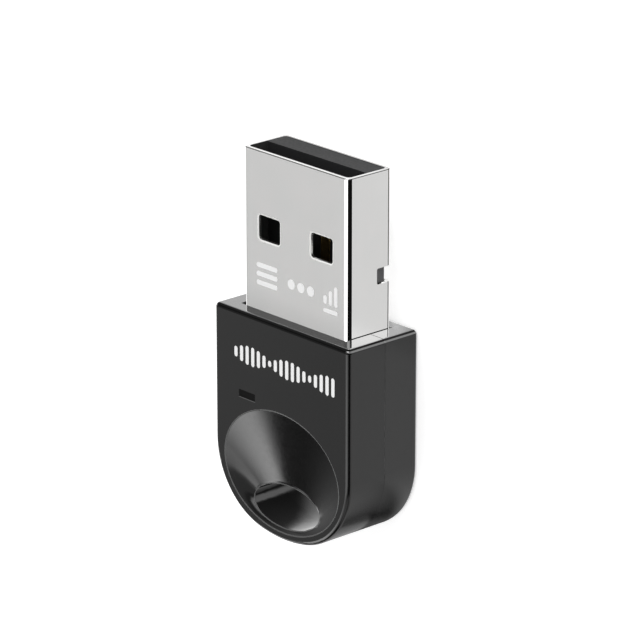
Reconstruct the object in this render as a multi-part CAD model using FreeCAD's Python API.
import FreeCAD, Part
import math
import os

from FreeCAD import Vector

os.makedirs("parts", exist_ok=True)

# A small USB adapter that lies on its flat back. Millimetres.
# +X runs across its width, +Y towards the plug's mouth, +Z out of the face with the finger dish.
# The origin is on the back's plane, under the middle of the overall length.

# Plug: a standard type A plug, folded from sheet
plug_width = 12.0
plug_thickness = 4.5
plug_reach = 12.8
plug_hidden_length = 5.0
sheet = 0.3
plug_corner = 0.45
mouth_bevel = 0.07
seam_gap = 0.06
seam_lock_length = 2.4
seam_lock_width = 1.6
seam_lock_flare = 0.35
seam_lock_drop = 6.6

# Latch windows, in the front and the back of the plug
window_width = 2.45
window_length = 2.0
window_corner = 0.25
window_bevel_width = 0.12
window_bevel_depth = 0.045
window_spacing = 6.0
window_from_mouth = 5.15

# Side notches, round the plug's back corners
notch_length = 1.28
notch_rise = 3.8
notch_height = 1.52
notch_turn = 0.9
notch_corner = 0.15

# Soldering legs at the plug's hidden end
leg_length = 1.6
leg_height = 1.3

# Plug insulator and its contacts
insulator_clearance = 0.04
insulator_corner = 0.3
tongue_thickness = 1.95
tongue_recess = 0.03
mouth_depth = 8.9
insulator_hidden_length = 4.5
contact_width = 1.0
contact_thickness = 0.25
contact_proud = 0.06
contact_outer_spacing = 7.0
contact_inner_spacing = 2.0
contact_outer_setback = 1.2
contact_inner_setback = 2.2
contact_nose = 0.12
contact_tail = 1.5

# Housing: two covers that meet at the plug's middle plane.
# The shoulders are what the housing shows past the plug, at each side, the back and the front.
side_shoulder = 1.75
back_shoulder = 1.21
front_shoulder = 1.54
end_radius = 12.0
end_arc_offset = 1.2
shoulder_corner = 0.36
edge_round = 0.34
parting_bevel = 0.015
wall = 0.9

# Plug opening in the shoulder
opening_side_gap = 0.08
opening_back_gap = 0.1
opening_front_gap = 0.25

# Lip on the back cover and its groove in the front cover
lip_inset = 0.5
lip_height = 0.5
lip_clearance = 0.05

# Finger dish and the lanyard hole at its foot
dish_side_margin = 1.05
dish_end_margin = 0.6
dish_depth = 0.6
dish_floor_slope = 0.27
dish_bevel_width = 0.12
dish_bevel_depth = 0.045
dish_overrun = 0.12
hole_width = 7.4
hole_length = 3.12
hole_end_margin = 1.05
hole_front_bevel_share = 0.04
hole_front_bevel_drop = 0.02
hole_back_bevel = 0.15

# Ribs that hold the plug, and its end stop
rib_thickness = 0.7
rib_first_drop = 1.5
rib_second_drop = 3.5
rib_inset = 1.0
stop_inset = 2.0

# Light guide and its window
guide_width = 1.93
guide_length = 0.66
guide_from_side = 3.78
guide_above_dish = 0.37
guide_recess = 0.05
guide_clearance = 0.02
guide_flange_margin = 0.28
guide_flange_thickness = 0.4
guide_led_gap = 0.2

# Circuit board and its posts
board_thickness = 0.8
board_length = 7.8
board_side_gap = 0.45
board_gap = 0.1
board_tube_gap = 0.3
board_leg_clearance = 0.08
board_end_corner = 1.4
post_radius = 0.55
post_side_margin = 1.5
post_top_margin = 3.3
post_end_margin = 0.9
clamp_radius = 0.4
clamp_side_margin = 0.55
clamp_top_margin = 5.75

# Parts on the board: width, length and height, then the distances to the board's middle or edges
chip_size = (3.0, 3.0, 0.75)
chip_x = 0.7
chip_top_margin = 4.0
chip_pin_one = 0.22
crystal_size = (2.0, 1.6, 0.5)
crystal_lid_inset = 0.2
crystal_lid_height = 0.15
crystal_side_margin = 3.35
crystal_end_margin = 2.8
led_size = (1.6, 0.8, 0.3)
led_lens = (1.0, 0.7, 0.25)
led_tail_gap = 0.41
antenna_size = (3.2, 1.6, 1.1)
antenna_cap = 0.5
antenna_side_margin = 3.0
antenna_end_margin = 0.9
regulator_size = (1.4, 2.9, 1.0)
regulator_side_margin = 1.8
regulator_top_margin = 3.9
regulator_lead = (0.4, 0.4, 0.15)
regulator_lead_spacing = 0.95
inductor_size = (1.6, 0.8, 0.8)
inductor_side_margin = 1.9
inductor_end_margin = 0.7
capacitor_size = (1.0, 0.5, 0.5)
capacitor_spacing = 1.4
capacitor_top_count = 4
capacitor_top_x = -1.2
capacitor_top_margin = 2.0
capacitor_end_count = 2
capacitor_end_x = 0.5
capacitor_end_margin = 0.5
resistor_size = (1.0, 0.5, 0.35)
resistor_spacing = 0.8
resistor_count = 3
resistor_side_margin = 1.1
resistor_led_gap = 0.79
chip_end_cap = 0.22

# Values worked out from the sizes above
housing_width = plug_width + 2 * side_shoulder
housing_thickness = back_shoulder + plug_thickness + front_shoulder
parting_height = back_shoulder + plug_thickness / 2
housing_half_width = housing_width / 2
board_end_drop = insulator_hidden_length + board_gap + board_length
housing_length = board_end_drop + board_tube_gap + wall + hole_length + hole_end_margin
corner_radius = housing_half_width - end_arc_offset
end_centre_rise = math.sqrt((end_radius - corner_radius) ** 2 - end_arc_offset ** 2)
overall_length = plug_reach + housing_length
mouth_y = overall_length / 2
shoulder_y = mouth_y - plug_reach
end_y = shoulder_y - housing_length
end_centre_y = end_y + end_radius
straight_end_y = end_centre_y - end_centre_rise
inner_front = housing_thickness - wall
lip_width = wall - lip_inset

plug_back = parting_height - plug_thickness / 2
plug_front = parting_height + plug_thickness / 2
plug_half_width = plug_width / 2
plug_end_y = shoulder_y - plug_hidden_length

insulator_end_y = shoulder_y - insulator_hidden_length
contact_tail_y = insulator_end_y - contact_tail
guide_x = guide_from_side - housing_half_width
guide_y = contact_tail_y - led_tail_gap - led_size[1] / 2

dish_half_width = housing_half_width - dish_side_margin
dish_top_y = guide_y - guide_above_dish
dish_low_y = end_y + dish_end_margin
dish_half_length = (dish_top_y - dish_low_y) / 2
dish_y = dish_low_y + dish_half_length
hole_half_width = hole_width / 2
hole_half_length = hole_length / 2
hole_y = end_y + hole_end_margin + hole_half_length

bore_corner = insulator_corner + insulator_clearance
insulator_half_width = plug_half_width - sheet - insulator_clearance
insulator_back = plug_back + sheet
insulator_front = plug_front - sheet - insulator_clearance
tongue_y = mouth_y - tongue_recess
tongue_front = insulator_back + tongue_thickness
contact_top = tongue_front + contact_proud
contact_base = contact_top - contact_thickness

board_front = contact_base
board_back = board_front - board_thickness
board_half_width = housing_half_width - wall - board_side_gap
board_top_y = insulator_end_y - board_gap
board_end_y = board_top_y - board_length
leg_inner_x = plug_half_width - sheet
leg_end_y = plug_end_y - leg_length
cut_over = 1.0
touching = 1e-6


def box(x_low, x_high, y_low, y_high, z_low, z_high):
    size = (x_high - x_low, y_high - y_low, z_high - z_low)
    return Part.makeBox(*size, Vector(x_low, y_low, z_low))


def centred_box(x, y, width, length, z_low, z_high):
    return box(x - width / 2, x + width / 2, y - length / 2, y + length / 2, z_low, z_high)


def post(x, y, radius, z_low, z_high):
    return Part.makeCylinder(radius, z_high - z_low, Vector(x, y, z_low))


def mirrored(shape):
    return shape.mirror(Vector(0, 0, 0), Vector(1, 0, 0))


def both_sides(shape):
    return [shape, mirrored(shape)]


def edges_where(shape, test):
    return [edge for edge in shape.Edges if test(edge)]


def lies_at_height(edge, z):
    return all(abs(vertex.Z - z) < touching for vertex in edge.Vertexes)


# Rounded rectangle about a centre, spanned by two unit directions
def rounded_wire(centre, across, along, width, length, radius):
    arcs = []
    for side_across, side_along, start in [(1, 1, 0), (-1, 1, 90), (-1, -1, 180), (1, -1, 270)]:
        out = across * (side_across * (width / 2 - radius))
        arc_centre = centre + out + along * (side_along * (length / 2 - radius))
        points = []
        for turn in (0, 45, 90):
            angle = math.radians(start + turn)
            direction = across * math.cos(angle) + along * math.sin(angle)
            points.append(arc_centre + direction * radius)
        arcs.append(Part.Arc(*points).toShape())
    edges = []
    for index, arc in enumerate(arcs):
        following = arcs[(index + 1) % len(arcs)]
        edges.append(arc)
        edges.append(Part.makeLine(arc.Vertexes[-1].Point, following.Vertexes[0].Point))
    return Part.Wire(edges)


# A bar along Y with the plug's rounded section
def section_prism(width, thickness, radius, y_low, y_high, z_centre):
    centre = Vector(0, y_low, z_centre)
    wire = rounded_wire(centre, Vector(1, 0, 0), Vector(0, 0, 1), width, thickness, radius)
    return Part.Face(wire).extrude(Vector(0, y_high - y_low, 0))


def flat_wire(x, y, z, width, length, radius):
    return rounded_wire(Vector(x, y, z), Vector(1, 0, 0), Vector(0, 1, 0), width, length, radius)


# Housing outline: square shoulder, straight sides, two corner arcs and one wide end arc
def outline_prism(inset, z_low, z_high):
    half_width = housing_half_width - inset
    top_y = shoulder_y - inset
    corner_centre = Vector(end_arc_offset, straight_end_y, z_low)
    end_centre = Vector(0, end_centre_y, z_low)
    join_direction = (corner_centre - end_centre).normalize()
    join = end_centre + join_direction * (end_radius - inset)
    join_angle = math.atan2(join_direction.y, join_direction.x)
    middle_direction = Vector(math.cos(join_angle / 2), math.sin(join_angle / 2), 0)
    corner_middle = corner_centre + middle_direction * (corner_radius - inset)
    side_low = Vector(half_width, straight_end_y, z_low)
    end_middle = Vector(0, end_centre_y - end_radius + inset, z_low)

    def opposite(point):
        return Vector(-point.x, point.y, point.z)

    top_round = max(shoulder_corner - inset, 0)
    edges = []
    if top_round > 0:
        round_centre = Vector(half_width - top_round, top_y - top_round, z_low)
        round_middle = round_centre + Vector(1, 1, 0).normalize() * top_round
        side_top = Vector(half_width, top_y - top_round, z_low)
        top_right = Vector(half_width - top_round, top_y, z_low)
        edges.append(Part.Arc(top_right, round_middle, side_top).toShape())
        edges.append(Part.Arc(opposite(side_top), opposite(round_middle), opposite(top_right)).toShape())
    else:
        side_top = Vector(half_width, top_y, z_low)
        top_right = side_top
    edges.append(Part.makeLine(side_top, side_low))
    edges.append(Part.Arc(side_low, corner_middle, join).toShape())
    edges.append(Part.Arc(join, end_middle, opposite(join)).toShape())
    edges.append(Part.Arc(opposite(join), opposite(corner_middle), opposite(side_low)).toShape())
    edges.append(Part.makeLine(opposite(side_low), opposite(side_top)))
    edges.append(Part.makeLine(opposite(top_right), top_right))
    wire = Part.Wire(Part.__sortEdges__(edges))
    return Part.Face(wire).extrude(Vector(0, 0, z_high - z_low))


# Half of the housing as a solid block, rounded at its outer face and bevelled at the parting line
def housing_block(z_low, z_high, outer_z):
    block = outline_prism(0, z_low, z_high)
    rim = edges_where(block, lambda edge: lies_at_height(edge, outer_z))
    block = block.makeFillet(edge_round, rim)
    seam = edges_where(block, lambda edge: lies_at_height(edge, parting_height))
    return block.makeChamfer(parting_bevel, seam)


def ellipse_wire(half_width, half_length, y, z, slope):
    centre = Vector(0, y, z)
    side = centre + Vector(half_width, 0, 0)
    top = centre + Vector(0, half_length, -half_length * slope)
    return Part.Wire(Part.Ellipse(side, top, centre).toShape())


def hole_prism(grow, z_low, z_high):
    wire = ellipse_wire(hole_half_width + grow, hole_half_length + grow, hole_y, z_low, 0)
    return Part.Face(wire).extrude(Vector(0, 0, z_high - z_low))


# Bevel round the hole on the back
def hole_back_cutter():
    grown = (hole_half_width + hole_back_bevel, hole_half_length + hole_back_bevel)
    outer = ellipse_wire(*grown, hole_y, 0, 0)
    inner = ellipse_wire(hole_half_width, hole_half_length, hole_y, hole_back_bevel, 0)
    return Part.makeLoft([outer, inner], True, True)


# The scoop's straight lines run from a flat rim to a slanted section of the straight hole.
# This is its outline at a share of the way: 0 is the rim, 1 is the hole.
def scoop_wire(rim_half_width, rim_half_length, rim_z, share, drop=0):
    half_width = rim_half_width + share * (hole_half_width - rim_half_width)
    half_length = rim_half_length + share * (hole_half_length - rim_half_length)
    y = dish_y + share * (hole_y - dish_y)
    z = rim_z - share * (dish_depth - housing_thickness + rim_z) - drop
    slope = share * dish_floor_slope * hole_half_length / half_length
    return ellipse_wire(half_width, half_length, y, z, slope)


# The finger dish, with a fine bevel round its rim and another where it meets the hole.
# The scoop and the lower bevel run on past the hole's wall, so they cut it cleanly.
def dish_cutter():
    inner_half_width = dish_half_width - dish_bevel_width
    inner_half_length = dish_half_length - dish_bevel_width
    inner_z = housing_thickness - dish_bevel_depth
    inner_rim = (inner_half_width, inner_half_length, inner_z)
    outer_wire = ellipse_wire(dish_half_width, dish_half_length, dish_y, housing_thickness, 0)
    rim_bevel = Part.makeLoft([outer_wire, scoop_wire(*inner_rim, 0)], True, True)
    dish = Part.makeLoft([scoop_wire(*inner_rim, 0), scoop_wire(*inner_rim, 1 + dish_overrun)], True, True)
    bevel_start = 1 - hole_front_bevel_share
    overrun_drop = hole_front_bevel_drop * (1 + dish_overrun / hole_front_bevel_share)
    foot = scoop_wire(*inner_rim, 1 + dish_overrun, overrun_drop)
    hole_bevel = Part.makeLoft([scoop_wire(*inner_rim, bevel_start), foot], True, True)
    return rim_bevel, dish, hole_bevel


# The wall behind the dish: its underside is one plane along the dish's long slope
def dish_backing():
    y_high = dish_y + dish_half_length
    y_low = dish_y - dish_half_length
    top_depth = dish_depth + dish_floor_slope * hole_half_length
    fall = top_depth / (y_high - hole_y - hole_half_length)
    z_low = inner_front - fall * (y_high - y_low)
    section = [(y_high, inner_front), (y_low, inner_front), (y_low, z_low)]
    points = [Vector(-dish_half_width, y, z) for y, z in section + section[:1]]
    wedge = Part.Face(Part.makePolygon(points)).extrude(Vector(2 * dish_half_width, 0, 0))
    rim = ellipse_wire(dish_half_width, dish_half_length, dish_y, z_low, 0)
    return wedge.common(Part.Face(rim).extrude(Vector(0, 0, inner_front - z_low)))


def plug_opening():
    half_width = plug_half_width + opening_side_gap
    z_low = plug_back - opening_back_gap
    z_high = plug_front + opening_front_gap
    inside_y = shoulder_y - wall
    return box(-half_width, half_width, inside_y, shoulder_y + cut_over, z_low, z_high)


def lip_ring(clearance):
    outer = outline_prism(lip_inset - clearance, parting_height, parting_height + lip_height + clearance)
    inner_inset = lip_inset + lip_width + clearance
    inner = outline_prism(inner_inset, parting_height, parting_height + lip_height + clearance)
    return outer.cut(inner)


def rib_spans():
    for drop in (rib_first_drop, rib_second_drop):
        y = shoulder_y - drop
        yield y - rib_thickness / 2, y + rib_thickness / 2


def guide_window():
    opening_z = (inner_front - cut_over, housing_thickness + cut_over)
    return centred_box(guide_x, guide_y, guide_width, guide_length, *opening_z)


def front_cover():
    block = housing_block(parting_height, housing_thickness, housing_thickness)
    pocket = outline_prism(wall, parting_height, inner_front)
    tube = hole_prism(wall, parting_height, inner_front)
    inside = [dish_backing(), tube]
    rib_half_width = plug_half_width - rib_inset
    for y_low, y_high in rib_spans():
        inside.append(box(-rib_half_width, rib_half_width, y_low, y_high, plug_front, inner_front))
    clamp_x = board_half_width - clamp_side_margin
    clamp_y = board_top_y - clamp_top_margin
    inside += both_sides(post(clamp_x, clamp_y, clamp_radius, board_front, inner_front))
    inside = inside[0].fuse(inside[1:]).common(pocket)
    cover = block.cut(pocket).fuse(inside)
    groove = lip_ring(lip_clearance).cut(hole_prism(wall, parting_height, housing_thickness))
    through = hole_prism(0, parting_height - cut_over, housing_thickness + cut_over)
    for cutter in (through, *dish_cutter(), plug_opening(), groove, guide_window()):
        cover = cover.cut(cutter)
    return cover.removeSplitter()


def back_cover():
    block = housing_block(0, parting_height, 0)
    pocket = outline_prism(wall, wall, parting_height)
    inside = [hole_prism(wall, wall, parting_height)]
    rib_half_width = plug_half_width - rib_inset
    for y_low, y_high in rib_spans():
        inside.append(box(-rib_half_width, rib_half_width, y_low, y_high, wall, plug_back))
        side_rib = box(plug_half_width, housing_half_width - wall, y_low, y_high, wall, parting_height)
        inside += both_sides(side_rib)
    stop_half_width = plug_half_width - stop_inset
    stop_y = plug_end_y - rib_thickness
    inside.append(box(-stop_half_width, stop_half_width, stop_y, plug_end_y, wall, board_back))
    post_x = board_half_width - post_side_margin
    for post_y in (board_top_y - post_top_margin, board_end_y + post_end_margin):
        inside += both_sides(post(post_x, post_y, post_radius, wall, board_back))
    inside = inside[0].fuse(inside[1:]).common(pocket)
    lip = lip_ring(0).cut(hole_prism(wall + lip_clearance, parting_height, housing_thickness))
    cover = block.cut(pocket).fuse([inside, lip])
    through = hole_prism(0, -cut_over, parting_height + cut_over)
    return cover.cut([through, hole_back_cutter(), plug_opening()]).removeSplitter()


def light_guide():
    width = guide_width - 2 * guide_clearance
    length = guide_length - 2 * guide_clearance
    led_top = board_front + led_size[2] + led_lens[2]
    stem_z = (led_top + guide_led_gap, housing_thickness - guide_recess)
    stem = centred_box(guide_x, guide_y, width, length, *stem_z)
    flange_width = guide_width + 2 * guide_flange_margin
    flange_length = guide_length + 2 * guide_flange_margin
    flange_z = (inner_front - guide_flange_thickness, inner_front)
    flange = centred_box(guide_x, guide_y, flange_width, flange_length, *flange_z)
    return stem.fuse(flange).removeSplitter()


# One latch window: a punched slot whose outer edge is bevelled
def window_cutter(side_x, front):
    x = side_x * window_spacing / 2
    y = mouth_y - window_from_mouth - window_length / 2
    face_z = plug_front if front else plug_back
    inwards = -1 if front else 1
    bevel_z = face_z + inwards * window_bevel_depth
    mouth_size = (window_width + 2 * window_bevel_width, window_length + 2 * window_bevel_width)
    outer = flat_wire(x, y, face_z, *mouth_size, window_corner + window_bevel_width)
    inner = flat_wire(x, y, bevel_z, window_width, window_length, window_corner)
    bevel = Part.makeLoft([outer, inner], True, True)
    slot = Part.Face(inner).extrude(Vector(0, 0, inwards * sheet))
    return bevel.fuse(slot)


# Notches taken out of the side and the back, round each back corner
def notch_cutters():
    y_low = shoulder_y + notch_rise
    y_high = y_low + notch_length
    side_x = plug_half_width + cut_over
    back_z = plug_back - cut_over
    inner_x = plug_half_width - notch_turn
    cutter = box(inner_x, side_x, y_low, y_high, back_z, plug_back + notch_height)
    rounded = edges_where(cutter, lambda edge: edge.BoundBox.XLength > notch_turn)
    rounded = [edge for edge in rounded if edge.BoundBox.ZMin > plug_back]
    return both_sides(cutter.makeFillet(notch_corner, rounded))


# The butt seam along the middle of the back, with one dovetail lock
def seam_cutter():
    z_low = plug_back - cut_over
    z_high = plug_back + sheet + seam_gap
    slit = box(-seam_gap / 2, seam_gap / 2, plug_end_y - cut_over, mouth_y + cut_over, z_low, z_high)
    lock_y = mouth_y - seam_lock_drop

    def dovetail(grow):
        root = seam_lock_length / 2 - seam_lock_flare + grow
        tip = seam_lock_length / 2 + grow
        reach = seam_lock_width + grow
        corners = [(0, lock_y - root), (reach, lock_y - tip), (reach, lock_y + tip), (0, lock_y + root)]
        points = [Vector(x, y, z_low) for x, y in corners + corners[:1]]
        return Part.Face(Part.makePolygon(points)).extrude(Vector(0, 0, z_high - z_low))

    tab = dovetail(0)
    return slit.cut(tab).cut(mirrored(tab)).fuse(dovetail(seam_gap).cut(tab))


def plug_shell():
    outer = section_prism(plug_width, plug_thickness, plug_corner, plug_end_y, mouth_y, parting_height)
    lip = edges_where(outer, lambda edge: edge.BoundBox.YMin > mouth_y - touching)
    outer = outer.makeChamfer(mouth_bevel, lip)
    inner_size = (plug_width - 2 * sheet, plug_thickness - 2 * sheet)
    bore_y = (plug_end_y - cut_over, mouth_y + cut_over)
    bore = section_prism(*inner_size, bore_corner, *bore_y, parting_height)
    shell = outer.cut(bore)
    windows = [window_cutter(side, front) for side in (-1, 1) for front in (True, False)]
    shell = shell.cut(windows + notch_cutters() + [seam_cutter()])
    leg_z = (parting_height - leg_height, parting_height)
    leg = box(leg_inner_x, plug_half_width, leg_end_y, plug_end_y, *leg_z)
    return shell.fuse(both_sides(leg)).removeSplitter()


def contact_x_places():
    outer = contact_outer_spacing / 2
    inner = contact_inner_spacing / 2
    return [(-outer, contact_outer_setback), (-inner, contact_inner_setback),
            (inner, contact_inner_setback), (outer, contact_outer_setback)]


# A flat strip with a bevelled nose, from the tongue's face back to its pad on the board
def contact(x, setback):
    y_high = tongue_y - setback
    y_low = contact_tail_y
    strip = centred_box(x, (y_low + y_high) / 2, contact_width, y_high - y_low, contact_base, contact_top)
    at_tip = edges_where(strip, lambda edge: edge.BoundBox.YMin > y_high - touching)
    nose = [edge for edge in at_tip if lies_at_height(edge, contact_top)]
    return strip.makeChamfer(contact_nose, nose)


def plug_insulator():
    half_width = insulator_half_width
    tongue = box(-half_width, half_width, insulator_end_y, tongue_y, insulator_back, tongue_front)
    root_y = mouth_y - mouth_depth
    root = box(-half_width, half_width, insulator_end_y, root_y, insulator_back, insulator_front)
    body = tongue.fuse(root).removeSplitter()
    runs_along = edges_where(body, lambda edge: edge.BoundBox.YLength > mouth_depth / 2)
    at_sides = [edge for edge in runs_along if abs(abs(edge.BoundBox.XMin) - half_width) < touching]
    corners = [edge for edge in at_sides if not lies_at_height(edge, tongue_front)]
    body = body.makeFillet(insulator_corner, corners)
    slots = []
    for x, setback in contact_x_places():
        y_high = tongue_y - setback
        y_low = insulator_end_y - cut_over
        slot = centred_box(x, (y_low + y_high) / 2, contact_width, y_high - y_low, contact_base, contact_top)
        slots.append(slot)
    return body.cut(slots)


def circuit_board():
    half_width = board_half_width
    board = box(-half_width, half_width, board_end_y, board_top_y, board_back, board_front)
    upright = edges_where(board, lambda edge: edge.BoundBox.ZLength > board_thickness / 2)
    end_corners = [edge for edge in upright if edge.BoundBox.YMax < board_top_y - touching]
    board = board.makeChamfer(board_end_corner, end_corners)
    notch_x = leg_inner_x - board_leg_clearance
    notch_y = leg_end_y - board_leg_clearance
    notch = box(notch_x, half_width + cut_over, notch_y, board_top_y + cut_over, board_back, board_front)
    return board.cut(both_sides(notch))


def on_board(x, y, size):
    width, length, height = size
    return centred_box(x, y, width, length, board_front, board_front + height)


# Radio chip with its pin-one dimple
def radio_chip():
    y = board_top_y - chip_top_margin
    body = on_board(chip_x, y, chip_size)
    corner_x = chip_x - chip_size[0] / 2 + 3 * chip_pin_one
    corner_y = y + chip_size[1] / 2 - 3 * chip_pin_one
    top = board_front + chip_size[2]
    return body.cut(post(corner_x, corner_y, chip_pin_one, top - chip_pin_one / 2, top + cut_over))


def crystal():
    x = crystal_side_margin - board_half_width
    y = board_end_y + crystal_end_margin
    lid_size = (crystal_size[0] - 2 * crystal_lid_inset, crystal_size[1] - 2 * crystal_lid_inset)
    top = board_front + crystal_size[2]
    lid = centred_box(x, y, *lid_size, top, top + crystal_lid_height)
    return on_board(x, y, crystal_size).fuse(lid)


def status_led():
    top = board_front + led_size[2]
    lens = centred_box(guide_x, guide_y, led_lens[0], led_lens[1], top, top + led_lens[2])
    return on_board(guide_x, guide_y, led_size).fuse(lens)


# A ceramic block whose two ends carry a metal cap; the caps stand a little proud
def capped_block(x, y, size, cap_length, cap_proud):
    width, length, height = size
    core = on_board(x, y, (width, length - 2 * cap_proud, height - cap_proud))
    cap_x = (width - cap_length) / 2
    caps = [on_board(x + side * cap_x, y, (cap_length, length, height)) for side in (-1, 1)]
    return core.fuse(caps).removeSplitter()


def chip_antenna():
    x = antenna_side_margin - board_half_width
    return capped_block(x, board_end_y + antenna_end_margin, antenna_size, antenna_cap, chip_end_cap / 4)


def inductor():
    x = board_half_width - inductor_side_margin
    return capped_block(x, board_end_y + inductor_end_margin, inductor_size, chip_end_cap, chip_end_cap / 4)


# Small regulator: a moulded body between one lead on one side and two on the other
def regulator():
    lead_reach, lead_width, lead_height = regulator_lead
    x = board_half_width - regulator_side_margin
    y = board_top_y - regulator_top_margin
    body = on_board(x, y, regulator_size)
    reach = regulator_size[0] / 2 + lead_reach / 2
    leads = [on_board(x - reach, y, (lead_reach, lead_width, lead_height))]
    for side in (-1, 1):
        lead_y = y + side * regulator_lead_spacing
        leads.append(on_board(x + reach, lead_y, (lead_reach, lead_width, lead_height)))
    return body.fuse(leads)


def small_block(x, y, size):
    return capped_block(x, y, size, chip_end_cap, chip_end_cap / 8)


# Capacitors in a row below the contacts and a row at the board's end
def capacitors():
    blocks = []
    for index in range(capacitor_top_count):
        x = capacitor_top_x + index * capacitor_spacing
        blocks.append(small_block(x, board_top_y - capacitor_top_margin, capacitor_size))
    for index in range(capacitor_end_count):
        x = capacitor_end_x + index * capacitor_spacing
        blocks.append(small_block(x, board_end_y + capacitor_end_margin, capacitor_size))
    return Part.makeCompound(blocks)


# Resistors in a column below the status light
def resistors():
    x = resistor_side_margin - board_half_width
    blocks = []
    for index in range(resistor_count):
        y = guide_y - resistor_led_gap - index * resistor_spacing
        blocks.append(small_block(x, y, resistor_size))
    return Part.makeCompound(blocks)


nodes = {
    "front_cover": front_cover(),
    "back_cover": back_cover(),
    "light_guide": light_guide(),
    "plug_shell": plug_shell(),
    "plug_insulator": plug_insulator(),
    "circuit_board": circuit_board(),
    "radio_chip": radio_chip(),
    "crystal": crystal(),
    "status_led": status_led(),
    "chip_antenna": chip_antenna(),
    "regulator": regulator(),
    "inductor": inductor(),
    "capacitors": capacitors(),
    "resistors": resistors(),
}

contact_names = ["contact_ground", "contact_data_plus", "contact_data_minus", "contact_power"]
for name, (x, setback) in zip(contact_names, contact_x_places()):
    nodes[name] = contact(x, setback)

for name, shape in nodes.items():
    shape.exportStep(f"parts/{name}.step")
    bounds = shape.BoundBox
    low = f"({bounds.XMin:.2f}, {bounds.YMin:.2f}, {bounds.ZMin:.2f})"
    high = f"({bounds.XMax:.2f}, {bounds.YMax:.2f}, {bounds.ZMax:.2f})"
    state = f"{len(shape.Solids)} solids, valid {shape.isValid()}"
    print(f"{name}: {state}, {shape.Volume:.2f} mm3, {low} to {high}")
